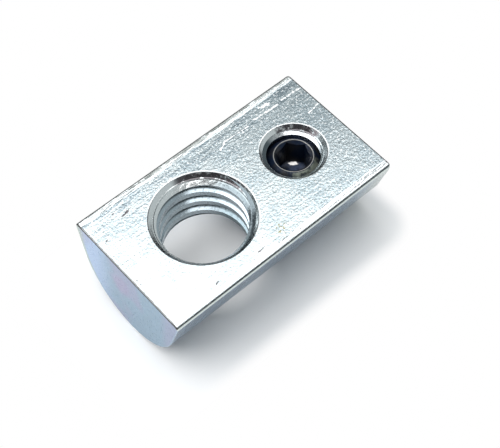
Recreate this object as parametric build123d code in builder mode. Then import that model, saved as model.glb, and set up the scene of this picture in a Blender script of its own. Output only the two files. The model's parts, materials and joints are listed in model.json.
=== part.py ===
import os
from math import acos, atan2, cos, hypot, radians, sin, tan

from build123d import *

# T slot nut with a set screw, in mm. +X runs along the nut and +Z is up. The origin is under the
# middle of the nut's overall length, on the lowest line of its rounded underside.

# Bar
bar_length = 21.0            # along the top face
bar_width = 12.0             # across the top face, before its edges are rounded
bar_height = 6.9             # top face to the lowest line of the underside
underside_r = 5.32           # rounded underside, which the tapering sides run into
top_edge_r = 0.25            # rounding of the two long top edges
end_lean = 0.48              # how far an end's foot stands to -X of its head, from shearing
end_skew = 1.0               # degrees that the +X end runs out of square
corner_r = 0.45              # rounding of the +X end's upright corners
rim_r = 0.1                  # rounding of the ends' rims

# Main threaded hole, M8 x 1.25
main_from_end = 7.3          # axis to the -X end of the top face
main_minor_r = 3.38
main_major_r = 4.0
main_pitch = 1.25
main_root_flat = 0.05        # width of the groove's floor
main_sink_r = 4.1            # countersink in the top face
main_exit_depth = 4.87       # top face to the thread's lower end
main_start_depth = 6.4       # top face to the groove's first turn, on the hole's +X side
main_turns = 6

# Set screw's threaded hole, M5 x 0.8
set_spacing = 9.0            # between the two holes' axes
set_minor_r = 2.12
set_major_r = 2.5
set_pitch = 0.8
set_root_flat = 0.05
set_sink_r = 2.6
set_exit_depth = 5.75
set_start_depth = 7.0
set_turns = 10

# Set screw
screw_clearance = 0.05       # radial, between the screw's shank and its hole
screw_length = 5.0
screw_recess = 0.59          # top face of the nut to the screw's top
screw_land_r = 1.62          # rim of the screw's flat top
screw_point_r = 1.25         # rim of its cup point
socket_flats = 2.5           # across the hexagon's flats
socket_depth = 2.5
socket_rim_r = 1.53          # outer radius of the socket's lead-in
socket_turn = 10.0           # degrees from having a corner towards +X
drill_angle = 120            # of the socket's floor and of the cup

# Shared
bevel_angle = 90             # of the countersinks and of the screw's end chamfers
flank_angle = 60             # between the flanks of a thread's groove
past = 0.2                   # how far a cutter runs past the face that it opens

# Worked out
half_width = bar_width / 2
shoulder_height = bar_height - underside_r
shoulder_reach = hypot(half_width, shoulder_height)
foot_angle = atan2(shoulder_height, half_width) - acos(underside_r / shoulder_reach)
foot_y = underside_r * cos(foot_angle)
foot_z = underside_r * (1 + sin(foot_angle))
skew_reach = half_width * tan(radians(end_skew))
corner_reach = (half_width - corner_r) * tan(radians(end_skew))
near_x = (end_lean - bar_length - corner_reach) / 2
far_x = near_x + bar_length
side_taper = (half_width - foot_y) / (bar_height - foot_z)
corner_foot = bar_height - corner_r / side_taper
main_x = near_x + main_from_end
set_x = main_x + set_spacing
bevel = tan(radians(90 - bevel_angle / 2))
drill_rise = tan(radians(90 - drill_angle / 2))
screw_r = set_minor_r - screw_clearance
screw_top = bar_height - screw_recess
screw_foot = screw_top - screw_length


def groove_turn(axis_x, minor_r, major_r, pitch, root_flat, start_depth):
    """One right-hand turn of a thread's groove, as a cutter."""
    start_z = bar_height - start_depth
    depth = major_r - minor_r
    half_root = root_flat / 2
    half_mouth = half_root + (depth + past) * tan(radians(flank_angle / 2))
    with BuildPart() as turn:
        with BuildLine() as path:
            Helix(pitch, pitch, minor_r, center=(axis_x, 0, start_z))
        start = Plane((axis_x + minor_r, 0, start_z), x_dir=(1, 0, 0), z_dir=(0, -1, 0))
        with BuildSketch(start):
            with BuildLine():
                Polyline(
                    (-past, -half_mouth),
                    (depth, -half_root),
                    (depth, half_root),
                    (-past, half_mouth),
                    close=True,
                )
            make_face()
        sweep(path=path.line, is_frenet=True)
    return turn.part


main_groove = groove_turn(
    main_x, main_minor_r, main_major_r, main_pitch, main_root_flat, main_start_depth
)
set_groove = groove_turn(
    set_x, set_minor_r, set_major_r, set_pitch, set_root_flat, set_start_depth
)


with BuildPart() as nut_body:
    # D-shaped bar, laid along X
    with BuildSketch(Plane.YZ) as section:
        with BuildLine():
            Line((-half_width, bar_height), (half_width, bar_height))
            Line((half_width, bar_height), (foot_y, foot_z))
            ThreePointArc((foot_y, foot_z), (0, 0), (-foot_y, foot_z))
            Line((-foot_y, foot_z), (-half_width, bar_height))
        make_face()
        fillet(section.vertices().group_by(Axis.Y)[-1], top_edge_r)
    extrude(amount=bar_length, both=True)
    # Sheared ends, from the top face's outline
    with BuildSketch(Plane.XY.offset(bar_height)) as outline:
        with BuildLine():
            Polyline(
                (near_x, -half_width),
                (far_x - skew_reach, -half_width),
                (far_x + skew_reach, half_width),
                (near_x, half_width),
                close=True,
            )
        make_face()
        fillet(outline.vertices().sort_by(Axis.X)[-2:], corner_r)
    extrude(
        amount=hypot(end_lean, bar_height),
        dir=(-end_lean, 0, -bar_height),
        mode=Mode.INTERSECT,
    )
    near_end = nut_body.faces().sort_by(Axis.X)[0]
    fillet(near_end.edges(), rim_r)
    far_end = nut_body.faces().sort_by(Axis.X)[-1]
    top_rim = nut_body.faces().sort_by(Axis.Z)[-1].edges().filter_by_position(Axis.X, set_x, far_x + past)
    foot_rim = far_end.edges().filter_by_position(Axis.Z, 0, corner_foot)
    fillet(top_rim + foot_rim, rim_r)
    # Main hole, open below in a cone that leaves a whole last turn in the rounded underside
    with Locations((main_x, 0, bar_height)):
        CounterSinkHole(main_minor_r, main_sink_r, counter_sink_angle=bevel_angle)
    exit_height = bar_height - main_exit_depth + past
    with Locations((main_x, 0, bar_height - main_exit_depth)):
        Cone(
            main_minor_r + exit_height / bevel,
            main_minor_r,
            exit_height,
            align=(Align.CENTER, Align.CENTER, Align.MAX),
            mode=Mode.SUBTRACT,
        )
    # Set screw's hole
    with Locations((set_x, 0, bar_height)):
        CounterSinkHole(set_minor_r, set_sink_r, counter_sink_angle=bevel_angle)
    set_exit_height = bar_height - set_exit_depth + past
    with Locations((set_x, 0, bar_height - set_exit_depth)):
        Cone(
            set_minor_r + set_exit_height / bevel,
            set_minor_r,
            set_exit_height,
            align=(Align.CENTER, Align.CENTER, Align.MAX),
            mode=Mode.SUBTRACT,
        )
    # Threads, turn by turn
    for turn in range(main_turns):
        with Locations((0, 0, turn * main_pitch)):
            add(main_groove, mode=Mode.SUBTRACT)
    for turn in range(set_turns):
        with Locations((0, 0, turn * set_pitch)):
            add(set_groove, mode=Mode.SUBTRACT)


with BuildPart() as set_screw:
    # Shank with bevelled ends, its cup and its socket's round parts, as one turned profile
    land_drop = (screw_r - screw_land_r) * bevel
    point_rise = (screw_r - screw_point_r) * bevel
    hexagon_r = socket_flats / 2
    socket_foot = screw_top - socket_depth
    with BuildSketch(Plane.XZ):
        with BuildLine():
            Polyline(
                (set_x, screw_foot + screw_point_r * drill_rise),
                (set_x + screw_point_r, screw_foot),
                (set_x + screw_r, screw_foot + point_rise),
                (set_x + screw_r, screw_top - land_drop),
                (set_x + screw_land_r, screw_top),
                (set_x + socket_rim_r, screw_top),
                (set_x + hexagon_r, screw_top - (socket_rim_r - hexagon_r) * bevel),
                (set_x + hexagon_r, socket_foot),
                (set_x, socket_foot - hexagon_r * drill_rise),
                close=True,
            )
        make_face()
    revolve(axis=Axis((set_x, 0, 0), (0, 0, 1)))
    # Hexagon socket
    with BuildSketch(Plane.XY.offset(screw_top)):
        with Locations((set_x, 0)):
            RegularPolygon(hexagon_r, 6, major_radius=False, rotation=socket_turn)
    extrude(amount=-socket_depth, mode=Mode.SUBTRACT)


os.makedirs("parts", exist_ok=True)
nut_body.part.label = "nut_body"
export_step(nut_body.part, "parts/nut_body.step")
set_screw.part.label = "set_screw"
export_step(set_screw.part, "parts/set_screw.step")
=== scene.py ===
import json
import math

import bpy
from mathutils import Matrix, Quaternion, Vector


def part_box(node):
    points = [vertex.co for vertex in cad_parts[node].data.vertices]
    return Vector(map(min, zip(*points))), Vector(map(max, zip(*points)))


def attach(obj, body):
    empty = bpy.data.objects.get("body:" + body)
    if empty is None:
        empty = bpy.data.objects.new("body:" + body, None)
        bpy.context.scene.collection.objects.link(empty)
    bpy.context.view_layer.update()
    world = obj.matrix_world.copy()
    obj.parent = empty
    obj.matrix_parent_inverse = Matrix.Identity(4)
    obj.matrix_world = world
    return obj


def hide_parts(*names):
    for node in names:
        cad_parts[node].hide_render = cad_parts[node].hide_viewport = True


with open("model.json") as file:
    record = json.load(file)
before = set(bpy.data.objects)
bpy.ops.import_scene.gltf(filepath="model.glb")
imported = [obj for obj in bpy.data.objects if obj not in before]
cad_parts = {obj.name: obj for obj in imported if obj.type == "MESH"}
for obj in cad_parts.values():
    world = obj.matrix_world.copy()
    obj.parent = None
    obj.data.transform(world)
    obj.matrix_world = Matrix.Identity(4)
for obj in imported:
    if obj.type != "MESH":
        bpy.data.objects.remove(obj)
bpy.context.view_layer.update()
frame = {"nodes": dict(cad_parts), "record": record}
nodes = frame["nodes"]
mounts = {mount["name"]: mount for mount in frame["record"]["mounts"]}
nutLow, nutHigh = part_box("nut_body")
screwLow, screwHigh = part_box("set_screw")
nutMiddle = (nutLow + nutHigh) / 2
screwMiddle = (screwLow + screwHigh) / 2
mainAxis = Vector(mounts["main_thread"]["pos_m"])
mergeDistance = 1e-7    # points closer than this become one
print("frame loaded")


# short ways to select, edit and apply
def deselectAll():
    if bpy.context.object and bpy.context.object.mode != "OBJECT":
        bpy.ops.object.mode_set(mode="OBJECT")
    bpy.ops.object.select_all(action="DESELECT")


def makeActive(piece):
    deselectAll()
    piece.select_set(True)
    bpy.context.view_layer.objects.active = piece


def applyAll(piece):
    makeActive(piece)
    for modifier in list(piece.modifiers):
        bpy.ops.object.modifier_apply(modifier=modifier.name)


def applyPlace():
    bpy.ops.object.transform_apply(location=True, rotation=True, scale=True)


def startEdit(selection):
    bpy.ops.object.mode_set(mode="EDIT")
    bpy.ops.mesh.select_all(action=selection)


def endEdit():
    bpy.ops.object.mode_set(mode="OBJECT")


# short ways to place nodes
def connect(tree, value, socket):
    if isinstance(value, bpy.types.NodeSocket):
        tree.links.new(value, socket)
    elif isinstance(value, (tuple, list, Vector)) and socket.type == "RGBA":
        socket.default_value = (*value, 1.0)
    else:
        socket.default_value = value


def addNode(tree, kind, inputs=None, **settings):
    made = tree.nodes.new(kind)
    for name, value in settings.items():
        setattr(made, name, value)
    for name, value in (inputs or {}).items():
        connect(tree, value, made.inputs[name])
    return made


def calc(tree, operation, *values, clamp=False):
    made = addNode(tree, "ShaderNodeMath", operation=operation, use_clamp=clamp)
    for socket, value in zip(made.inputs, values):
        connect(tree, value, socket)
    return made.outputs[0]


def times(tree, first, *others):
    for other in others:
        first = calc(tree, "MULTIPLY", first, other)
    return first


def most(tree, first, *others):
    for other in others:
        first = calc(tree, "MAXIMUM", first, other)
    return first


def vectorCalc(tree, operation, first, second=None):
    made = addNode(tree, "ShaderNodeVectorMath", {0: first}, operation=operation)
    if second is not None:
        connect(tree, second, made.inputs["Scale" if operation == "SCALE" else 1])
    isNumber = operation in ("LENGTH", "DISTANCE", "DOT_PRODUCT")
    return made.outputs["Value" if isNumber else "Vector"]


def ramp(tree, value, low, high, toLow=0.0, toHigh=1.0, kind="SMOOTHSTEP"):
    return addNode(tree, "ShaderNodeMapRange", {
        "Value": value, "From Min": low, "From Max": high, "To Min": toLow, "To Max": toHigh,
    }, interpolation_type=kind).outputs[0]


def blendColour(tree, factor, first, second, mode="MIX"):
    made = addNode(tree, "ShaderNodeMix", data_type="RGBA", blend_type=mode)
    sockets = (made.inputs[0], made.inputs[6], made.inputs[7])    # factor and the two colours
    for socket, value in zip(sockets, (factor, first, second)):
        connect(tree, value, socket)
    return made.outputs[2]


def noise(tree, vector, scale, detail=2.0, roughness=0.5):
    return addNode(tree, "ShaderNodeTexNoise", {
        "Vector": vector, "Scale": scale, "Detail": detail, "Roughness": roughness,
    }).outputs["Fac"]


def newGroup(name, inputs, outputs):
    group = bpy.data.node_groups.new(name, "ShaderNodeTree")
    for socketName, kind, value in inputs:
        socket = group.interface.new_socket(socketName, in_out="INPUT", socket_type=kind)
        if value is not None:
            socket.default_value = value
    for socketName, kind in outputs:
        group.interface.new_socket(socketName, in_out="OUTPUT", socket_type=kind)
    entry = group.nodes.new("NodeGroupInput").outputs
    leave = group.nodes.new("NodeGroupOutput").inputs
    return group, entry, leave


def placeGroup(tree, group, **inputs):
    return addNode(tree, "ShaderNodeGroup", inputs, node_tree=group).outputs


def startMaterial(name):
    material = bpy.data.materials.new(name)
    material.use_nodes = True
    tree = material.node_tree
    tree.nodes.clear()
    shader = addNode(tree, "ShaderNodeBsdfPrincipled")
    addNode(tree, "ShaderNodeOutputMaterial", {"Surface": shader.outputs[0]})
    return material, tree, shader


def readSurface(tree, middle):
    # a point's place from the piece's middle, whole and in parts, and its normal's parts
    coords = addNode(tree, "ShaderNodeTexCoord").outputs
    moved = addNode(tree, "ShaderNodeMapping", {"Vector": coords["Object"], "Location": -middle})
    position = moved.outputs[0]
    place = addNode(tree, "ShaderNodeSeparateXYZ", {0: position}).outputs
    facing = addNode(tree, "ShaderNodeSeparateXYZ", {0: coords["Normal"]}).outputs
    return position, place, facing


# effects kept as groups, which the finishes and marks below place
# levels are a ramp's start and end, and what it runs from and to where that isn't 0 and 1
effects = {
    "grainDetail": (3.0, 0.7),             # noise's detail and roughness
    "cellSmoothness": 0.35,
    "cellShare": 0.6,
    "speckLevels": (0.545, 0.615),
    "patchDetail": (3.0, 0.55),
    "patchLevels": (0.4, 0.62),
    "streakDetail": (2.0, 0.6),
    "streakFade": 0.05,
    "markGrain": 4200.0,
    "markLevels": (0.35, 0.65, 0.1, 1.7),
    "markFade": (0.6, 1.1, 1.0, 0.0),
}


def buildGrain(settings):
    # fine crystals: their height, the sharp bright ones, and broad cloudy patches
    group, entry, leave = newGroup(
        "fineGrain",
        [("vector", "NodeSocketVector", None), ("fine", "NodeSocketFloat", 3000.0),
         ("broad", "NodeSocketFloat", 500.0)],
        [("height", "NodeSocketFloat"), ("specks", "NodeSocketFloat"),
         ("patches", "NodeSocketFloat")],
    )
    small = noise(group, entry["vector"], entry["fine"], *settings["grainDetail"])
    cells = addNode(group, "ShaderNodeTexVoronoi", {
        "Vector": entry["vector"], "Scale": entry["fine"],
        "Smoothness": settings["cellSmoothness"]}, feature="SMOOTH_F1")
    broad = noise(group, entry["vector"], entry["broad"], *settings["patchDetail"])
    height = calc(group, "MULTIPLY_ADD", cells.outputs["Distance"], settings["cellShare"], small)
    connect(group, height, leave["height"])
    connect(group, ramp(group, small, *settings["speckLevels"]), leave["specks"])
    connect(group, ramp(group, broad, *settings["patchLevels"]), leave["patches"])
    return group


def buildStreaks(settings):
    # marks drawn out along X, as a height and as a mask of the strongest
    group, entry, leave = newGroup(
        "drawnStreaks",
        [("vector", "NodeSocketVector", None), ("along", "NodeSocketFloat", 150.0),
         ("across", "NodeSocketFloat", 3000.0), ("least", "NodeSocketFloat", 0.6)],
        [("height", "NodeSocketFloat"), ("strong", "NodeSocketFloat")],
    )
    scale = addNode(group, "ShaderNodeCombineXYZ", {
        "X": entry["along"], "Y": entry["across"], "Z": entry["across"]})
    drawn = vectorCalc(group, "MULTIPLY", entry["vector"], scale.outputs[0])
    marks = noise(group, drawn, 1.0, *settings["streakDetail"])
    connect(group, marks, leave["height"])
    overLeast = calc(group, "SUBTRACT", marks, entry["least"])
    connect(group, ramp(group, overLeast, 0.0, settings["streakFade"]), leave["strong"])
    return group


def buildMark(settings):
    # worn line between two points of the top face, broken up a little
    group, entry, leave = newGroup(
        "markLine",
        [("vector", "NodeSocketVector", None), ("start", "NodeSocketVector", None),
         ("end", "NodeSocketVector", None), ("half", "NodeSocketFloat", 0.0001)],
        [("mask", "NodeSocketFloat")],
    )
    flat = vectorCalc(group, "MULTIPLY", entry["vector"], (1.0, 1.0, 0.0))
    reach = vectorCalc(group, "SUBTRACT", flat, entry["start"])
    span = vectorCalc(group, "SUBTRACT", entry["end"], entry["start"])
    along = vectorCalc(group, "DOT_PRODUCT", reach, span)
    whole = vectorCalc(group, "DOT_PRODUCT", span, span)
    share = calc(group, "DIVIDE", along, whole, clamp=True)
    gap = vectorCalc(group, "DISTANCE", reach, vectorCalc(group, "SCALE", span, share))
    wander = noise(group, entry["vector"], settings["markGrain"])
    ragged = times(group, entry["half"], ramp(group, wander, *settings["markLevels"]))
    mask = ramp(group, calc(group, "DIVIDE", gap, ragged), *settings["markFade"])
    connect(group, mask, leave["mask"])
    return group


fineGrain = buildGrain(effects)
drawnStreaks = buildStreaks(effects)
markLine = buildMark(effects)
print("shared effects made")


# zinc plate of the nut: colours, then places and amounts
# several values together are a ramp's start and end, and what it runs from and to
# lengths are in metres, and a "Grain" is a noise's scale
zincPlate = {
    "plain": (0.72, 0.79, 0.81),
    "cloud": (0.58, 0.67, 0.71),
    "farShade": (0.50, 0.60, 0.65),
    "speck": (0.92, 0.94, 0.94),
    "streak": (0.36, 0.44, 0.49),
    # white of the scratches, also the painted highlight on the holes' rims
    "scratchAndRimHighlight": (1.0, 1.0, 1.0),
    "stain": (0.36, 0.33, 0.20),
    # painted highlight on the top's rolled long edges
    "edgeHighlight": (0.90, 0.94, 0.95),
    "leftEdge": (0.37, 0.39, 0.38),
    "rightEdge": (0.74, 0.80, 0.77),
    "rimShade": (0.075, 0.07, 0.07),
    "side": (0.41, 0.53, 0.66),
    "sidePale": (0.72, 0.78, 0.75),
    "under": (0.27, 0.35, 0.43),
    "endPlain": (0.285, 0.415, 0.53),
    "endPale": (0.42, 0.56, 0.79),
    "endLilac": (0.385, 0.365, 0.535),
    "endBorder": (0.47, 0.55, 0.51),
    "boreShade": (0.50, 0.58, 0.63),
    "boreDeep": (0.22, 0.28, 0.31),
    "rootShade": (0.07, 0.09, 0.10),
    "setBore": (0.80, 0.82, 0.83),
    "coneLeft": (0.93, 0.96, 0.96),
    "coneRight": (0.50, 0.57, 0.59),
    "coneInner": (0.20, 0.24, 0.26),
    # dark of the nicks, also painted shade on the countersinks' far arcs
    "coneShadeAndNicks": (0.17, 0.16, 0.17),

    "roughness": 0.19,
    "speckRoughness": 0.36,
    "wornRoughness": 0.5,                  # added on scratches and bright rims
    "grain": 5200.0,                       # crystals per metre
    "clouds": 380.0,
    "speckAmount": 0.9,
    "grainHeight": 0.0000100,
    "grainOffTop": 0.25,                   # share of the grain's relief on the other faces
    "streakAlong": 260.0,
    "streakAcross": 2600.0,
    "streakLeast": 0.52,
    "streakHeight": 0.000009,
    "streakAmount": (0.75, 0.1),           # added towards the +Y edge, and everywhere

    "topFacing": (0.93, 0.99),             # normal's Z
    "upperFacing": (0.0, 0.3),
    "underFacing": (-0.65, -0.2),
    "endFacing": (0.95, 0.99),             # normal's X
    "streaked": (0.0025, 0.0045),          # along Y
    "shadedAcross": (-0.0025, 0.0045, 0.37, 0.47),
    "shadedAlong": (-0.001, 0.006),
    "sidePaleFrom": (0.0070, 0.0100),
    "stainAt": (0.0006, -0.0045, 0.00345),
    "stainReach": (0.0003, 0.0008, 1.0, 0.0),
    "stainGrain": 4600.0,
    "stainLevels": (0.55, 0.62),

    "paleFrom": (0.0010, 0.0042),          # on the ends, along Y
    "lilacAt": (-0.0104, 0.0006, 0.0013),
    "lilacGrain": 500.0,
    "lilacWander": -0.0016,
    "lilacReach": (-0.0002, 0.0009, 0.9, 0.0),
    "faintGrain": 260.0,
    "faintLevels": (0.52, 0.66, 0.0, 0.55),
    "lilacTip": (-0.0048, -0.0038, 0.5, 0.0),
    "sectionRadius": 0.00532,              # of the rounded underside
    "sectionSlope": (0.960, -0.279),       # unit normal of the tapering side
    "borderWidth": (0.00042, 0.00026),     # in from the end's outline
    "borderAcross": (0.0030, 0.0045),
    "tipAcross": (0.0046, 0.0057, 0.0, 0.85),

    "far": (0.76, 0.65),                   # unit direction of the countersinks' dark arcs
    "farArc": (0.66, 0.80),                # shares of the radius along that direction
    "farWall": (0.3, 0.85),
    "wallGrain": 2400.0,
    "wallLevels": (0.35, 0.55, 0.45, 1.0),
    "rightArc": (-0.3, 0.4),
    "holeGap": 0.00001,                    # hole's masks start this far in from its rim
    "holeRim": (0.00002, 0.00005, 1.0, 0.0),
    "holeRimFade": (-0.1, 0.4, 1.0, 0.15),
    "brightRim": (0.00003, 0.00006, 1.0, 0.0),
    "brightRimOut": 0.00007,               # out from the rim
    "brightRimFrom": (-0.2, 0.3),
    "coneUp": (0.707, 0.03),               # normal's Z on the countersinks, and its tolerance
    "coneReach": 0.00075,                  # a countersink's width, flat on its radius
    "coneGrain": 2200.0,
    "coneHeight": 0.000030,
    "lipReach": 0.00036,                   # from the rim in to the raised line
    "lipWidth": 0.00007,
    "lipHeight": 0.000030,
    "lipFall": 0.00010,                    # flattens the cone inside that line
    "rootReach": (0.00056, 0.00044),       # in from the rim, where the thread's roots start
    "rootAmount": 0.85,
    "innerSpread": 2.5,
    # mottles of the painted shade on the countersinks' far arcs
    "mottledShadeGrain": 2000.0,
    "mottledShadeDetail": (3.0, 0.6),             # noise's detail and roughness
    "mottledShadeLevels": (0.36, 0.5),
    "mottledShadeUntil": 0.02,                    # share of the way in from the raised line
    "deepFrom": (-0.0005, 0.0012, 1.0, 0.0),     # along Z
    "mainHoleEnd": (0.0018, 0.0028, 1.0, 0.0),   # along X, between the two holes

    "rollStart": 0.00072,                  # the top face falls from here out to its long edges
    "rollEnd": 0.00024,
    "rollDrop": 0.000105,
    "edgeWander": 0.0004,
    "edgeHighlightFade": 0.0001,
    "scuffGrain": 1300.0,
    "scuffDetail": (3.0, 0.7),
    "scuffLevels": (0.55, 0.60, 1.0, 0.3),
    "stripAlong": (-0.0085, -0.0030, 0.00022, 0.00040),   # grey strip's width along X
    "stripFacing": (0.90, 0.95),
    "paleFacing": (-0.05, 0.05),
    "paleEnd": (0.6, 0.75, 1.0, 0.0),
    "rightFacing": (-0.5, -0.6),           # normal's Y
    # dark rims lie between two values of the normal's Z
    "rimLow": (0.42, 0.22),                # added on the -Y side, and everywhere
    "rimHigh": (0.045, 0.93),              # added on the +Y side and the ends, and everywhere
    "rimFades": (0.1, 0.05),
    "endRimFacing": 0.15,                  # normal's X
    "nearRim": 0.00052,                    # from the part's end in to the top face's flat
    "farRim": 0.00019,
    "farSkew": 0.0175,
    "nearRimScale": 0.8,
    "farRimScale": 1.6,
    "borderFade": (0.0, 0.00003, 0.9, 0.0),
    "borderGrain": 2600.0,
    "borderDetail": (3.0, 0.6),
    "borderWander": -0.0001,
    "rimAmount": 0.92,
    "endRimExtra": 0.06,
}
holes = {"main": (mainAxis.x, 0.0041), "set": (screwMiddle.x, 0.0026)}   # axis, countersink radius

# marks on the top face, in mm: from, to, half width
scratches = [
    ((8.6, 4.32), (10.75, 4.22), 0.06),
    ((5.8, 4.28), (8.1, 4.16), 0.07),
    ((2.6, 4.2), (5.0, 4.1), 0.04),
    ((1.9, 3.8), (2.5, 4.1), 0.09),
    ((6.7, 4.9), (7.6, 4.7), 0.12),
    ((9.3, 1.9), (10.5, 2.1), 0.05),
]
nicks = [
    ((-7.5, 4.0), (-6.7, 4.2), 0.09),
    ((-8.2, 4.6), (-7.7, 4.7), 0.05),
    ((-1.95, -4.98), (-1.5, -4.9), 0.05),
    ((-5.95, -4.95), (-5.7, -4.85), 0.05),
    ((-9.95, -0.95), (-9.95, -1.4), 0.06),
    ((-9.7, 3.1), (-9.4, 3.2), 0.05),
]


def marksMask(tree, position, marks):
    lines = []
    for start, end, half in marks:
        line = placeGroup(
            tree, markLine, vector=position, start=(start[0] / 1000, start[1] / 1000, 0),
            end=(end[0] / 1000, end[1] / 1000, 0), half=half / 1000)
        lines.append(line["mask"])
    return most(tree, *lines)


def holeMasks(tree, settings, place, axisX, sink):
    offX = calc(tree, "SUBTRACT", place["X"], axisX - nutMiddle.x)
    squares = calc(tree, "MULTIPLY_ADD", place["Y"], place["Y"], times(tree, offX, offX))
    radius = calc(tree, "SQRT", squares)
    farX, farY = settings["far"]

    def offRadius(middle):
        return calc(tree, "ABSOLUTE", calc(tree, "SUBTRACT", radius, middle))

    def shareAlong(partX, partY):
        along = calc(tree, "MULTIPLY_ADD", place["Y"], partY, times(tree, offX, partX))
        return calc(tree, "DIVIDE", along, radius)

    inside = calc(tree, "LESS_THAN", radius, sink - settings["holeGap"])
    farShare = shareAlong(farX, farY)
    rightShare = shareAlong(farY, -farX)
    lipAt = sink - settings["lipReach"]
    inward = ramp(tree, radius, sink - settings["coneReach"], lipAt, 1.0, 0.0, "LINEAR")
    rootFrom, rootTo = (sink - reach for reach in settings["rootReach"])
    rim = ramp(tree, offRadius(sink), *settings["holeRim"])
    bright = ramp(tree, offRadius(sink + settings["brightRimOut"]), *settings["brightRim"])
    return {
        "inside": inside,
        "lip": ramp(tree, offRadius(lipAt), 0.0, settings["lipWidth"], 1.0, 0.0),
        "inner": times(tree, inward, inside),
        "root": times(tree, ramp(tree, radius, rootFrom, rootTo), inside),
        "farArc": times(tree, ramp(tree, farShare, *settings["farArc"]), inside),
        "rightArc": times(tree, ramp(tree, rightShare, *settings["rightArc"]), inside),
        "farWall": times(tree, ramp(tree, farShare, *settings["farWall"]), inside),
        "rim": times(tree, rim, ramp(tree, farShare, *settings["holeRimFade"])),
        "brightRim": times(tree, bright, ramp(tree, farShare, *settings["brightRimFrom"])),
    }


def findMasks(tree, settings, place, facing, streaks):
    masks = {
        "top": ramp(tree, facing["Z"], *settings["topFacing"]),
        "end": ramp(tree, calc(tree, "ABSOLUTE", facing["X"]), *settings["endFacing"]),
        "left": calc(tree, "GREATER_THAN", place["Y"], 0.0),
    }
    onRight = calc(tree, "SUBTRACT", 1.0, masks["left"])
    masks["right"] = times(tree, onRight, ramp(tree, facing["Y"], *settings["rightFacing"]))
    fromEdge = calc(tree, "SUBTRACT", nutHigh.y, calc(tree, "ABSOLUTE", place["Y"]))
    wander = calc(tree, "SUBTRACT", streaks["height"], 0.5)
    masks["fromEdge"] = calc(tree, "MULTIPLY_ADD", wander, settings["edgeWander"], fromEdge)
    main, fixing = (holeMasks(tree, settings, place, *holes[name]) for name in ("main", "set"))
    for name in main:
        masks[name] = most(tree, main[name], fixing[name])
    masks["farWall"] = fixing["farWall"]
    masks["inside"] = times(tree, masks["inside"], calc(tree, "SUBTRACT", 1.0, masks["top"]))
    masks["outside"] = calc(tree, "SUBTRACT", 1.0, masks["inside"])
    isSloped = calc(tree, "COMPARE", facing["Z"], *settings["coneUp"])
    masks["cone"] = times(tree, isSloped, masks["inside"])
    masks["farCone"] = times(tree, masks["cone"], masks["farArc"])
    for name in ("lip", "inner"):
        masks[name] = times(tree, masks[name], masks["cone"])
    masks["brightRim"] = times(tree, masks["brightRim"], masks["top"])
    return masks


def topColour(tree, settings, position, place, grain, streaks, scratched):
    colour = blendColour(tree, grain["patches"], settings["plain"], settings["cloud"])
    shaded = times(tree, ramp(tree, place["Y"], *settings["shadedAcross"]),
                   ramp(tree, place["X"], *settings["shadedAlong"]))
    colour = blendColour(tree, shaded, colour, settings["farShade"])
    amount = calc(tree, "MULTIPLY_ADD", ramp(tree, place["Y"], *settings["streaked"]),
                  *settings["streakAmount"])
    colour = blendColour(tree, times(tree, streaks["strong"], amount), colour, settings["streak"])
    specks = times(tree, grain["specks"], settings["speckAmount"])
    colour = blendColour(tree, specks, colour, settings["speck"])
    colour = blendColour(tree, scratched, colour, settings["scratchAndRimHighlight"])
    colour = blendColour(tree, marksMask(tree, position, nicks), colour, settings["coneShadeAndNicks"])
    offStain = vectorCalc(tree, "DISTANCE", position, settings["stainAt"])
    spotted = noise(tree, position, settings["stainGrain"])
    stain = times(tree, ramp(tree, offStain, *settings["stainReach"]),
                  ramp(tree, spotted, *settings["stainLevels"]))
    return blendColour(tree, stain, colour, settings["stain"])


def sideColour(tree, settings, place, facing):
    # lower faces take a darker copy, painted shade, and the far end a paler one, painted
    # reflection
    colour = blendColour(tree, ramp(tree, facing["Z"], *settings["underFacing"]),
                         settings["under"], settings["side"])
    pale = ramp(tree, place["X"], *settings["sidePaleFrom"])
    return blendColour(tree, pale, colour, settings["sidePale"])


def endColour(tree, settings, position, place):
    # lighter towards +Y: painted reflection
    colour = blendColour(tree, ramp(tree, place["Y"], *settings["paleFrom"]),
                         settings["endPlain"], settings["endPale"])
    offPatch = vectorCalc(tree, "DISTANCE", position, settings["lilacAt"])
    ragged = calc(tree, "MULTIPLY_ADD", noise(tree, position, settings["lilacGrain"]),
                  settings["lilacWander"], offPatch)
    faint = noise(tree, position, settings["faintGrain"], detail=1.0)
    faint = ramp(tree, faint, *settings["faintLevels"])
    tip = ramp(tree, place["Y"], *settings["lilacTip"])
    lilac = most(tree, ramp(tree, ragged, *settings["lilacReach"]), faint, tip)
    colour = blendColour(tree, lilac, colour, settings["endLilac"])
    # pale border inside the outline, which is an arc below and a slope above
    radius = settings["sectionRadius"]
    slopeY, slopeZ = settings["sectionSlope"]
    offCentre = calc(tree, "ADD", place["Z"], nutMiddle.z - radius)
    curved = calc(tree, "SQRT", calc(tree, "MULTIPLY_ADD", place["Y"], place["Y"],
                                     times(tree, offCentre, offCentre)))
    sloped = calc(tree, "MULTIPLY_ADD", place["Y"], slopeY, times(tree, offCentre, slopeZ))
    onSlope = calc(tree, "GREATER_THAN", offCentre, times(tree, place["Y"], slopeZ / slopeY))
    outward = addNode(tree, "ShaderNodeMix", {0: onSlope, 2: curved, 3: sloped}).outputs[0]
    borderFrom, borderTo = (radius - width for width in settings["borderWidth"])
    border = times(tree, ramp(tree, outward, borderFrom, borderTo),
                   ramp(tree, place["Y"], *settings["borderAcross"]))
    border = most(tree, border, ramp(tree, place["Y"], *settings["tipAcross"]))
    return blendColour(tree, border, colour, settings["endBorder"])


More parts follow.
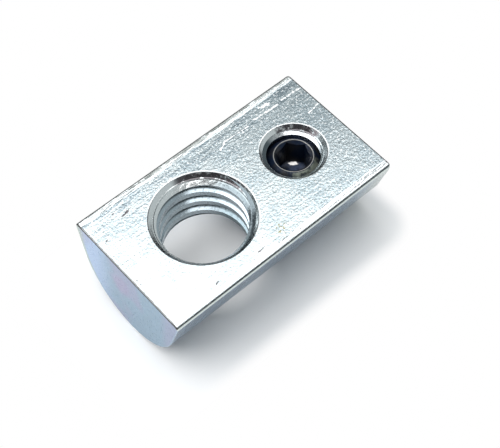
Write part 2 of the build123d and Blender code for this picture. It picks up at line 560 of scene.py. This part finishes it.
def boreColour(tree, settings, position, place, masks):
    # lower threads on the right darkened: painted shade
    deep = times(tree, masks["rightArc"], ramp(tree, place["Z"], *settings["deepFrom"]))
    colour = blendColour(tree, deep, settings["boreShade"], settings["boreDeep"])
    root = times(tree, masks["root"], settings["rootAmount"])
    colour = blendColour(tree, root, colour, settings["rootShade"])
    # far wall of the set hole lightened and broken up by noise: painted highlight
    broken = noise(tree, position, settings["wallGrain"], detail=3.0)
    broken = ramp(tree, broken, *settings["wallLevels"])
    return blendColour(tree, times(tree, masks["farWall"], broken), colour, settings["setBore"])


def coneColour(tree, settings, place, masks):
    # countersinks lighter on the left and darker on the right: painted light and shade
    colour = blendColour(tree, masks["rightArc"], settings["coneLeft"], settings["coneRight"])
    inMain = ramp(tree, place["X"], *settings["mainHoleEnd"])
    # inner cone on the right of the main hole darkened further: painted shade
    inner = calc(tree, "MULTIPLY", masks["inner"], settings["innerSpread"], clamp=True)
    innerShade = times(tree, inner, times(tree, masks["rightArc"], inMain))
    return blendColour(tree, innerShade, colour, settings["coneInner"])


def edgeColour(tree, settings, position, place, facing, masks, colour):
    # painted highlight along the top's rolled long edges, then a grey strip of painted shade on
    # the +Y edge and a pale strip of painted reflection on the other
    rollStart = settings["rollStart"]
    edgeHighlight = ramp(tree, masks["fromEdge"], rollStart - settings["edgeHighlightFade"], rollStart,
                     1.0, 0.0)
    colour = blendColour(tree, times(tree, edgeHighlight, masks["top"]), colour, settings["edgeHighlight"])
    stripEnd = ramp(tree, place["X"], *settings["stripAlong"])
    strip = times(tree, masks["left"], calc(tree, "LESS_THAN", masks["fromEdge"], stripEnd),
                  ramp(tree, facing["Z"], *settings["stripFacing"]))
    scuffed = noise(tree, position, settings["scuffGrain"], *settings["scuffDetail"])
    scuffed = ramp(tree, scuffed, *settings["scuffLevels"])
    colour = blendColour(tree, times(tree, strip, scuffed), colour, settings["leftEdge"])
    pale = times(tree, ramp(tree, facing["Z"], *settings["paleFacing"]),
                 ramp(tree, facing["Z"], *settings["paleEnd"]))
    return blendColour(tree, times(tree, pale, masks["right"]), colour, settings["rightEdge"])


def rimsMask(tree, settings, position, place, facing, masks):
    lowFade, highFade = settings["rimFades"]
    rimLow = calc(tree, "MULTIPLY_ADD", masks["right"], *settings["rimLow"])
    aside = calc(tree, "ABSOLUTE", facing["X"])
    endRim = calc(tree, "GREATER_THAN", aside, settings["endRimFacing"])
    rimHigh = calc(tree, "MULTIPLY_ADD", most(tree, masks["left"], endRim), *settings["rimHigh"])
    rims = times(
        tree, ramp(tree, facing["Z"], rimLow, calc(tree, "ADD", rimLow, lowFade)),
        ramp(tree, facing["Z"], calc(tree, "SUBTRACT", rimHigh, highFade), rimHigh, 1.0, 0.0),
        masks["outside"])
    holeRims = times(tree, masks["rim"], most(tree, masks["top"], masks["cone"]))
    # dark borders of the top face along its two ends, painted shade like the rims
    nearAt = nutLow.x - nutMiddle.x + settings["nearRim"]
    farAt = nutHigh.x - nutMiddle.x - settings["farRim"]
    nearReach = calc(tree, "SUBTRACT", place["X"], nearAt)
    farReach = calc(tree, "MULTIPLY_ADD", place["Y"], settings["farSkew"], farAt)
    farReach = calc(tree, "SUBTRACT", farReach, place["X"])
    border = calc(tree, "MINIMUM", times(tree, nearReach, settings["nearRimScale"]),
                  times(tree, farReach, settings["farRimScale"]))
    wander = noise(tree, position, settings["borderGrain"], *settings["borderDetail"])
    border = calc(tree, "MULTIPLY_ADD", wander, settings["borderWander"], border)
    border = times(tree, ramp(tree, border, *settings["borderFade"]), masks["top"])
    amount = calc(tree, "MULTIPLY_ADD", endRim, settings["endRimExtra"], settings["rimAmount"])
    return times(tree, most(tree, rims, holeRims, border), amount)


def addRelief(tree, settings, position, grain, streaks, masks):
    rollWidth = settings["rollStart"] - settings["rollEnd"]
    fallen = calc(tree, "SUBTRACT", settings["rollStart"], masks["fromEdge"])
    roll = times(tree, calc(tree, "DIVIDE", fallen, rollWidth, clamp=True), masks["top"])
    bump = addNode(tree, "ShaderNodeBump", {
        "Distance": settings["rollDrop"], "Height": roll}, invert=True)
    offTop = settings["grainOffTop"]
    coneMarks = times(tree, noise(tree, position, settings["coneGrain"]), masks["farCone"])
    layers = [
        (1.0, settings["lipHeight"], masks["lip"]),
        (1.0, settings["lipFall"], masks["inner"]),
        (calc(tree, "MULTIPLY_ADD", masks["top"], 1 - offTop, offTop), settings["grainHeight"],
         grain["height"]),
        (1.0, settings["coneHeight"], coneMarks),
        (1.0, settings["streakHeight"], streaks["height"]),
    ]
    for strength, distance, height in layers:
        bump = addNode(tree, "ShaderNodeBump", {
            "Strength": strength, "Distance": distance, "Height": height,
            "Normal": bump.outputs[0]})
    return bump.outputs[0]


def makeZinc(settings):
    material, tree, shader = startMaterial("zincPlate")
    position, place, facing = readSurface(tree, nutMiddle)
    grain = placeGroup(tree, fineGrain, vector=position, fine=settings["grain"],
                       broad=settings["clouds"])
    streaks = placeGroup(tree, drawnStreaks, vector=position, along=settings["streakAlong"],
                         across=settings["streakAcross"], least=settings["streakLeast"])
    masks = findMasks(tree, settings, place, facing, streaks)
    scratched = times(tree, marksMask(tree, position, scratches), masks["top"])

    colour = topColour(tree, settings, position, place, grain, streaks, scratched)
    isUpper = ramp(tree, facing["Z"], *settings["upperFacing"])
    colour = blendColour(tree, isUpper, sideColour(tree, settings, place, facing), colour)
    colour = blendColour(tree, masks["end"], colour, endColour(tree, settings, position, place))
    bore = boreColour(tree, settings, position, place, masks)
    colour = blendColour(tree, masks["inside"], colour, bore)
    colour = blendColour(tree, masks["cone"], colour, coneColour(tree, settings, place, masks))
    # painted shade: the far arc of each countersink darkened in mottles
    mottledShade = noise(tree, position, settings["mottledShadeGrain"], *settings["mottledShadeDetail"])
    mottledShade = times(tree, ramp(tree, mottledShade, *settings["mottledShadeLevels"]), masks["farCone"],
                  calc(tree, "GREATER_THAN", settings["mottledShadeUntil"], masks["inner"]))
    colour = blendColour(tree, mottledShade, colour, settings["coneShadeAndNicks"])
    # painted highlight along the holes' rims
    colour = blendColour(tree, masks["brightRim"], colour, settings["scratchAndRimHighlight"])
    colour = edgeColour(tree, settings, position, place, facing, masks, colour)
    rims = rimsMask(tree, settings, position, place, facing, masks)
    colour = blendColour(tree, rims, colour, settings["rimShade"])
    connect(tree, colour, shader.inputs["Base Color"])
    shader.inputs["Metallic"].default_value = 1.0

    rough = ramp(tree, grain["specks"], 0.0, 1.0, settings["roughness"],
                 settings["speckRoughness"], "LINEAR")
    wearAndHighlight = most(tree, scratched, masks["brightRim"])
    rough = calc(tree, "MULTIPLY_ADD", wearAndHighlight, settings["wornRoughness"], rough, clamp=True)
    connect(tree, rough, shader.inputs["Roughness"])
    normal = addRelief(tree, settings, position, grain, streaks, masks)
    connect(tree, normal, shader.inputs["Normal"])
    return material


nodes["nut_body"].data.materials[0] = makeZinc(zincPlate)
print("zinc plate made")


# black oxide of the set screw
blackOxide = {
    "dark": (0.008, 0.018, 0.045),
    "brown": (0.050, 0.045, 0.036),
    # pale crescent on the bevel
    "paleCrescent": (0.34, 0.37, 0.31),
    # worn ring round the socket, painted lighter as a highlight on its edge
    "wearAndHighlight": (0.46, 0.45, 0.42),
    "glint": (0.9, 0.88, 0.85),
    "metallic": 0.6,
    "roughness": 0.30,
    "speckRoughness": 0.45,
    "brownAmount": 0.6,
    "grain": 2600.0,             # crystals per metre
    "clouds": 900.0,
    "grainHeight": 0.000008,
    "ringRadius": 0.00153,       # worn ring round the socket, painted lighter as a highlight on its edge
    "ringReach": (0.0000168, 0.000042, 1.0, 0.0),
    "ringDepth": 0.0001,         # below the screw's top
    "ringGrain": 1500.0,
    "ringLevels": (0.25, 0.5, 0.45, 1.0),
    "crescentSide": (-0.05, -0.90),  # direction of the pale crescent on the bevel
    "crescentArc": (0.55, 0.8),
    "crescentOut": 0.0001,           # out from the ring
    "crescentGrain": 2500.0,
    "crescentLevels": (0.35, 0.55, 0.2, 1.0),
    "spot": (0.00074, 0.00083, -0.00005),   # glint low in the socket, from the screw's middle
    "spotTurn": -39,             # degrees
    "spotStretch": (1.45, 0.5, 1.0),
    "spotGrain": 5000.0,
    "spotWander": -0.0004,
    "spotReach": (0.0, 0.00009, 0.9, 0.0),
}


def makeBlackOxide(settings):
    material, tree, shader = startMaterial("blackOxide")
    position, place = readSurface(tree, screwMiddle)[:2]
    grain = placeGroup(tree, fineGrain, vector=position, fine=settings["grain"],
                       broad=settings["clouds"])
    reach = calc(tree, "SQRT", calc(tree, "ADD", times(tree, place["X"], place["X"]),
                                    times(tree, place["Y"], place["Y"])))
    brown = times(tree, grain["patches"], settings["brownAmount"])
    colour = blendColour(tree, brown, settings["dark"], settings["brown"])
    # worn ring, painted lighter as a highlight on the socket's edge
    offRing = calc(tree, "ABSOLUTE", calc(tree, "SUBTRACT", reach, settings["ringRadius"]))
    ring = ramp(tree, offRing, *settings["ringReach"])
    topAt = (screwHigh.z - screwLow.z) / 2 - settings["ringDepth"]
    ring = times(tree, ring, calc(tree, "GREATER_THAN", place["Z"], topAt),
                 ramp(tree, noise(tree, position, settings["ringGrain"]), *settings["ringLevels"]))
    colour = blendColour(tree, ring, colour, settings["wearAndHighlight"])
    # pale crescent on the -Y side of the bevel
    crescentX, crescentY = settings["crescentSide"]
    sideways = calc(tree, "MULTIPLY_ADD", place["Y"], crescentY, times(tree, place["X"], crescentX))
    paleCrescent = ramp(tree, calc(tree, "DIVIDE", sideways, reach), *settings["crescentArc"])
    outOfRing = calc(tree, "GREATER_THAN", reach, settings["ringRadius"] + settings["crescentOut"])
    paleCrescent = times(tree, paleCrescent, outOfRing,
                 ramp(tree, noise(tree, position, settings["crescentGrain"]), *settings["crescentLevels"]))
    colour = blendColour(tree, paleCrescent, colour, settings["paleCrescent"])
    # glint low in the socket
    fromSpot = vectorCalc(tree, "SUBTRACT", position, settings["spot"])
    drawnOut = addNode(tree, "ShaderNodeMapping", {
        "Vector": fromSpot, "Rotation": (0, 0, math.radians(settings["spotTurn"])),
        "Scale": settings["spotStretch"]}, vector_type="TEXTURE")
    offSpot = vectorCalc(tree, "LENGTH", drawnOut.outputs[0])
    offSpot = calc(tree, "MULTIPLY_ADD", noise(tree, position, settings["spotGrain"]),
                   settings["spotWander"], offSpot)
    colour = blendColour(tree, ramp(tree, offSpot, *settings["spotReach"]), colour,
                         settings["glint"])
    connect(tree, colour, shader.inputs["Base Color"])
    shader.inputs["Metallic"].default_value = settings["metallic"]
    rough = ramp(tree, grain["specks"], 0.0, 1.0, settings["roughness"],
                 settings["speckRoughness"], "LINEAR")
    connect(tree, rough, shader.inputs["Roughness"])
    bump = addNode(tree, "ShaderNodeBump", {
        "Distance": settings["grainHeight"], "Height": grain["height"]})
    connect(tree, bump.outputs[0], shader.inputs["Normal"])
    return material


# set screw with its own thread
screwThread = {
    "coreRadius": 0.00207,
    "crestRadius": 0.00242,
    "footHalf": 0.00026,         # half of the ridge's width at the core
    "crestHalf": 0.00004,
    "sunk": 0.00006,             # how far the ridge's foot lies inside the core
    "sunkSpread": 0.6,           # extra half width for each metre sunk
    "pitch": 0.0008,
    "turns": 8,
    "steps": 64,                 # per turn
    "phase": -0.0001,            # a turn's height where it crosses +X
    "landRadius": 0.00162,
    "pointRadius": 0.00125,
    "spare": 0.0001,             # how far the trimming cylinder stands outside the crests
    "cylinderSides": 96,
    "endTolerance": 1e-6,
    "smoothAngle": 32,           # degrees
}


def makeThreadRidge(settings):
    # one flat outline at the core, carried round and up
    deselectAll()
    bpy.ops.mesh.primitive_plane_add(
        size=1.0, location=(0, 0, 0), rotation=(math.radians(90), 0, 0))
    ridge = bpy.context.active_object
    ridge.name = "threadRidge"
    applyPlace()
    sunk = settings["sunk"]
    for vertex in ridge.data.vertices:
        outer = vertex.co.x > 0
        foot = settings["footHalf"] + sunk * settings["sunkSpread"]
        vertex.co.z = math.copysign(settings["crestHalf"] if outer else foot, vertex.co.z)
        vertex.co.x = settings["crestRadius"] if outer else settings["coreRadius"] - sunk
    turn = ridge.modifiers.new("turn", "SCREW")
    turn.axis = "Z"
    turn.angle = math.tau
    turn.screw_offset = settings["pitch"]
    turn.iterations = settings["turns"]
    turn.steps = turn.render_steps = settings["steps"]
    turn.use_merge_vertices = True
    applyAll(ridge)
    startEdit("SELECT")
    bpy.ops.mesh.remove_doubles(threshold=mergeDistance)
    bpy.ops.mesh.select_all(action="DESELECT")
    bpy.ops.mesh.select_non_manifold()
    bpy.ops.mesh.edge_face_add()
    bpy.ops.mesh.select_all(action="SELECT")
    bpy.ops.mesh.normals_make_consistent(inside=False)
    endEdit()
    firstTurn = math.floor(screwLow.z / settings["pitch"]) - 1
    low = settings["phase"] + settings["pitch"] * firstTurn
    ridge.location = (screwMiddle.x, screwMiddle.y, low)
    applyPlace()
    return ridge


def makeEnvelope(settings):
    # plain cylinder with the two end bevels, which trims the ridge
    radius = settings["crestRadius"] + settings["spare"]
    deselectAll()
    bpy.ops.mesh.primitive_cylinder_add(
        vertices=settings["cylinderSides"], radius=radius, depth=screwHigh.z - screwLow.z,
        location=screwMiddle)
    envelope = bpy.context.active_object
    applyPlace()
    ends = ((screwHigh.z, settings["landRadius"]), (screwLow.z, settings["pointRadius"]))
    for height, rim in ends:
        startEdit("DESELECT")
        endEdit()
        for face in envelope.data.polygons:
            face.select = abs(face.center.z - height) < settings["endTolerance"]
        bpy.ops.object.mode_set(mode="EDIT")
        bpy.ops.mesh.select_mode(type="FACE")
        bpy.ops.mesh.bevel(offset=radius - rim, offset_type="OFFSET", segments=1)
        endEdit()
    return envelope


def joinSolids(piece, other, operation):
    cut = piece.modifiers.new("cut", "BOOLEAN")
    cut.operation = operation
    cut.solver = "EXACT"
    cut.object = other
    applyAll(piece)
    makeActive(other)
    bpy.ops.object.delete()


def makeSetScrew(settings):
    ridge = makeThreadRidge(settings)
    joinSolids(ridge, makeEnvelope(settings), "INTERSECT")
    core = nodes["set_screw"].copy()
    core.data = nodes["set_screw"].data.copy()
    bpy.context.scene.collection.objects.link(core)
    core.name = "setScrewThreaded"
    makeActive(core)
    startEdit("SELECT")
    bpy.ops.mesh.remove_doubles(threshold=mergeDistance)
    endEdit()
    bpy.ops.mesh.customdata_custom_splitnormals_clear()
    joinSolids(core, ridge, "UNION")
    makeActive(core)
    bpy.ops.object.shade_smooth_by_angle(angle=math.radians(settings["smoothAngle"]))
    core.data.materials.clear()
    core.data.materials.append(makeBlackOxide(blackOxide))
    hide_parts("set_screw")
    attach(core, "screw")


makeSetScrew(screwThread)
print("set screw made")


# studio
studio = {
    "turn": 50.62,                         # degrees from +X to straight away from the camera
    "floorSize": 1.6,
    "floorColour": (0.82, 0.82, 0.82),
    "floorShown": (0.945, 0.95, 0.955),    # what the camera alone sees of it
    "fade": (0.0015, 0.0032),              # out from the part's box, where it runs into white
    "fadeShift": (0.0015, 0, 0),           # moves that box towards -X
    "lampHeight": 0.30,
    "lampDepth": 0.38,                     # along the view
    # left end, right end, brightness, centre along the view
    "roof": (-0.10, 0.13, 1.9, 0.004),
    "skylight": (-0.60, -0.10, 3.0, 0.0),
    "rearLight": (-0.36, -0.07, 1.9, 0.53),
    "ambient": (0.18, 0.185, 0.19),
    "behind": (0.385, 0.415, 0.42),        # past the part
    "beside": (0.46, 0.50, 0.51),          # to its right
    "sideSpread": (0.25, 0.7),             # how those two run into the ambient colour
    "white": (1.0, 1.0, 1.0),
}


def makeLamp(name, settings, away, right):
    start, end, brightness, centre = settings[name]
    width, depth = end - start, settings["lampDepth"]
    lamp = bpy.data.lights.new(name, "AREA")
    lamp.shape = "RECTANGLE"
    lamp.size, lamp.size_y = width, depth
    lamp.energy = brightness * width * depth * math.pi
    holder = bpy.data.objects.new(name, lamp)
    bpy.context.scene.collection.objects.link(holder)
    up = Vector((0, 0, settings["lampHeight"]))
    holder.location = right * (start + end) / 2 + away * centre + up
    holder.rotation_euler = (0, 0, math.radians(settings["turn"] - 90))


def makeFloor(settings):
    deselectAll()
    bpy.ops.mesh.primitive_plane_add(size=settings["floorSize"])
    floor = bpy.context.active_object
    floor.name = "studioFloor"
    material = bpy.data.materials.new("paleFloor")
    material.use_nodes = True
    tree = material.node_tree
    tree.nodes.clear()
    seen = addNode(tree, "ShaderNodeLightPath").outputs["Is Camera Ray"]
    colour = blendColour(tree, seen, settings["floorColour"], settings["floorShown"])
    matt = addNode(tree, "ShaderNodeBsdfDiffuse", {"Color": colour})
    # the camera sees the floor run into white away from the part
    place = addNode(tree, "ShaderNodeTexCoord").outputs["Object"]
    place = vectorCalc(tree, "ADD", place, settings["fadeShift"])
    place = vectorCalc(tree, "ABSOLUTE", place)
    place = vectorCalc(tree, "SUBTRACT", place, (nutHigh.x, nutHigh.y, 0))
    place = vectorCalc(tree, "MAXIMUM", place, (0, 0, 0))
    fade = ramp(tree, vectorCalc(tree, "LENGTH", place), *settings["fade"])
    white = addNode(tree, "ShaderNodeEmission", {"Color": settings["white"], "Strength": 1.0})
    ended = addNode(tree, "ShaderNodeMixShader", {
        0: times(tree, fade, seen), 1: matt.outputs[0], 2: white.outputs[0]})
    addNode(tree, "ShaderNodeOutputMaterial", {"Surface": ended.outputs[0]})
    floor.data.materials.append(material)


def makeRoom(settings, away, right):
    world = bpy.data.worlds.new("room")
    bpy.context.scene.world = world
    world.use_nodes = True
    tree = world.node_tree
    tree.nodes.clear()
    look = addNode(tree, "ShaderNodeTexCoord").outputs["Generated"]
    colour = settings["ambient"]
    for name, towards in (("behind", away), ("beside", right)):
        ahead = ramp(tree, vectorCalc(tree, "DOT_PRODUCT", look, towards), *settings["sideSpread"])
        colour = blendColour(tree, ahead, colour, settings[name], "LIGHTEN")
    seen = addNode(tree, "ShaderNodeLightPath").outputs["Is Camera Ray"]
    colour = blendColour(tree, seen, colour, settings["white"])
    back = addNode(tree, "ShaderNodeBackground", {"Color": colour})
    addNode(tree, "ShaderNodeOutputWorld", {"Surface": back.outputs[0]})


def makeStudio(settings):
    turn = math.radians(settings["turn"])
    away = Vector((math.cos(turn), math.sin(turn), 0))
    right = Vector((math.sin(turn), -math.cos(turn), 0))
    makeFloor(settings)
    for name in ("roof", "skylight", "rearLight"):
        makeLamp(name, settings, away, right)
    makeRoom(settings, away, right)


makeStudio(studio)
print("studio made")


# camera
cameraPlace = {
    "lens": 80.83,              # mm
    "sensor": 36.0,             # mm wide
    "azimuth": -39.38,          # degrees, 0 looks along +Y
    "elevation": 57.17,
    "roll": -2.32,
    "distance": 0.08611,
    "aim": (0.00056, -0.00103, 0.0),   # from the middle of the nut
    "clip": (0.001, 10.0),
}


def makeCamera(settings):
    camera = bpy.data.cameras.new("camera")
    camera.lens = settings["lens"]
    camera.sensor_width = settings["sensor"]
    camera.clip_start, camera.clip_end = settings["clip"]
    holder = bpy.data.objects.new("camera", camera)
    bpy.context.scene.collection.objects.link(holder)
    azimuth, elevation, roll = (math.radians(settings[name])
                                for name in ("azimuth", "elevation", "roll"))
    level = math.cos(elevation)
    back = Vector((math.sin(azimuth) * level, -math.cos(azimuth) * level, math.sin(elevation)))
    holder.location = nutMiddle + Vector(settings["aim"]) + back * settings["distance"]
    holder.rotation_mode = "QUATERNION"
    aimed = (-back).to_track_quat("-Z", "Y")
    holder.rotation_quaternion = aimed @ Quaternion((0, 0, 1), roll)
    bpy.context.scene.camera = holder


makeCamera(cameraPlace)
bpy.context.scene.view_settings.view_transform = "Standard"
print("camera made")
